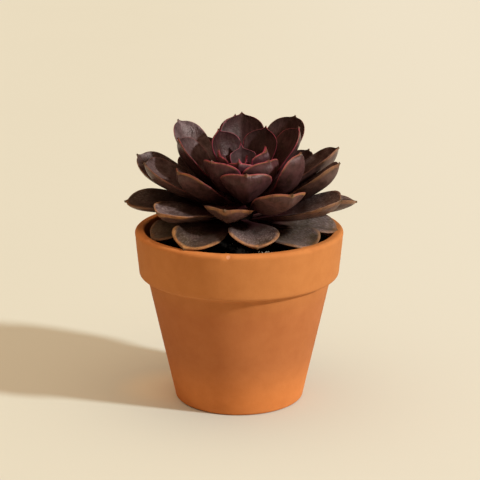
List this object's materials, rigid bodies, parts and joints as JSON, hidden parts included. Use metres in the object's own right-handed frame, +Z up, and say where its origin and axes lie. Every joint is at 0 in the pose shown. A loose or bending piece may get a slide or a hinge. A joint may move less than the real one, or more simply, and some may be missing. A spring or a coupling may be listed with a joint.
{
  "type": "potted echeveria",
  "caption": "Rosette of thick, pointed, dark red-brown succulent leaves with rosy and ochre edges on a short stem, in a round tapered terracotta pot with a deep collar, filled with soil.",
  "frame": {"origin": "centre of the pot's base, on the surface that the pot stands on", "axes": "+Z up along the pot's axis, -Y towards the front of the plant as pictured, +X to the right"},
  "size_m": [0.1182, 0.105, 0.1429],
  "materials": {
    "fired_clay": "unglazed fired terracotta, dry and matte",
    "potting_soil": "dark crumbly potting soil, matte",
    "stem_bark": "corky plant stem",
    "leaf_skin": "smooth waxy succulent skin, satin sheen"
  },
  "bodies": {
    "root": {"pot": "fired_clay", "soil": "potting_soil", "stem": "stem_bark", "leaf_01": "leaf_skin", "leaf_02": "leaf_skin", "leaf_03": "leaf_skin", "leaf_04": "leaf_skin", "leaf_05": "leaf_skin", "leaf_06": "leaf_skin", "leaf_07": "leaf_skin", "leaf_08": "leaf_skin", "leaf_09": "leaf_skin", "leaf_10": "leaf_skin", "leaf_11": "leaf_skin", "leaf_12": "leaf_skin", "leaf_13": "leaf_skin", "leaf_14": "leaf_skin", "leaf_15": "leaf_skin", "leaf_16": "leaf_skin", "leaf_17": "leaf_skin", "leaf_18": "leaf_skin", "leaf_19": "leaf_skin", "leaf_20": "leaf_skin", "leaf_21": "leaf_skin", "leaf_22": "leaf_skin", "leaf_23": "leaf_skin", "leaf_24": "leaf_skin", "leaf_25": "leaf_skin", "leaf_26": "leaf_skin", "leaf_27": "leaf_skin", "leaf_28": "leaf_skin", "leaf_29": "leaf_skin", "leaf_30": "leaf_skin", "leaf_31": "leaf_skin", "leaf_32": "leaf_skin", "leaf_33": "leaf_skin", "leaf_34": "leaf_skin", "leaf_35": "leaf_skin", "leaf_36": "leaf_skin", "leaf_37": "leaf_skin", "leaf_38": "leaf_skin", "leaf_39": "leaf_skin", "leaf_40": "leaf_skin", "leaf_41": "leaf_skin", "leaf_42": "leaf_skin", "leaf_43": "leaf_skin", "heart": "leaf_skin"}
  },
  "joints": []
}
